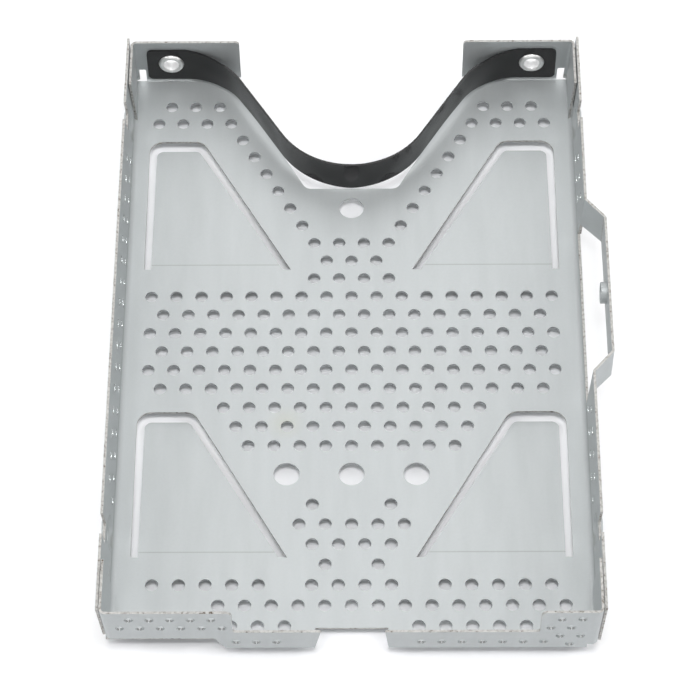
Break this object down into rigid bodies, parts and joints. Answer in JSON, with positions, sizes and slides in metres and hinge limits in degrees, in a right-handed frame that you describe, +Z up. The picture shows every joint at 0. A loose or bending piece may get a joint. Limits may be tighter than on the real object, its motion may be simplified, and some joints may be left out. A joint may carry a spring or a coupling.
{
  "type": "hard drive mounting bracket",
  "caption": "Perforated folded-steel tray that holds a small hard drive, with side screw holes, spring tongues in its floor and a black pull strap riveted to two ears.",
  "frame": {"origin": "on the floor's upper face, at the centre of its hole lattice and midway between the side walls", "axes": "+X to the wall with the bump, +Y from the front flange towards the strap, +Z up out of the tray"},
  "size_m": [0.0779, 0.1075, 0.0128],
  "materials": {
    "zinc_sheet": "satin zinc-coated steel sheet with raw cut edges",
    "black_strap": "soft satin black plastic band",
    "eyelet_metal": "bright nickel-plated eyelet"
  },
  "bodies": {
    "root": {"tray": "zinc_sheet", "strap": "black_strap", "left_eyelet": "eyelet_metal", "right_eyelet": "eyelet_metal"}
  },
  "joints": []
}
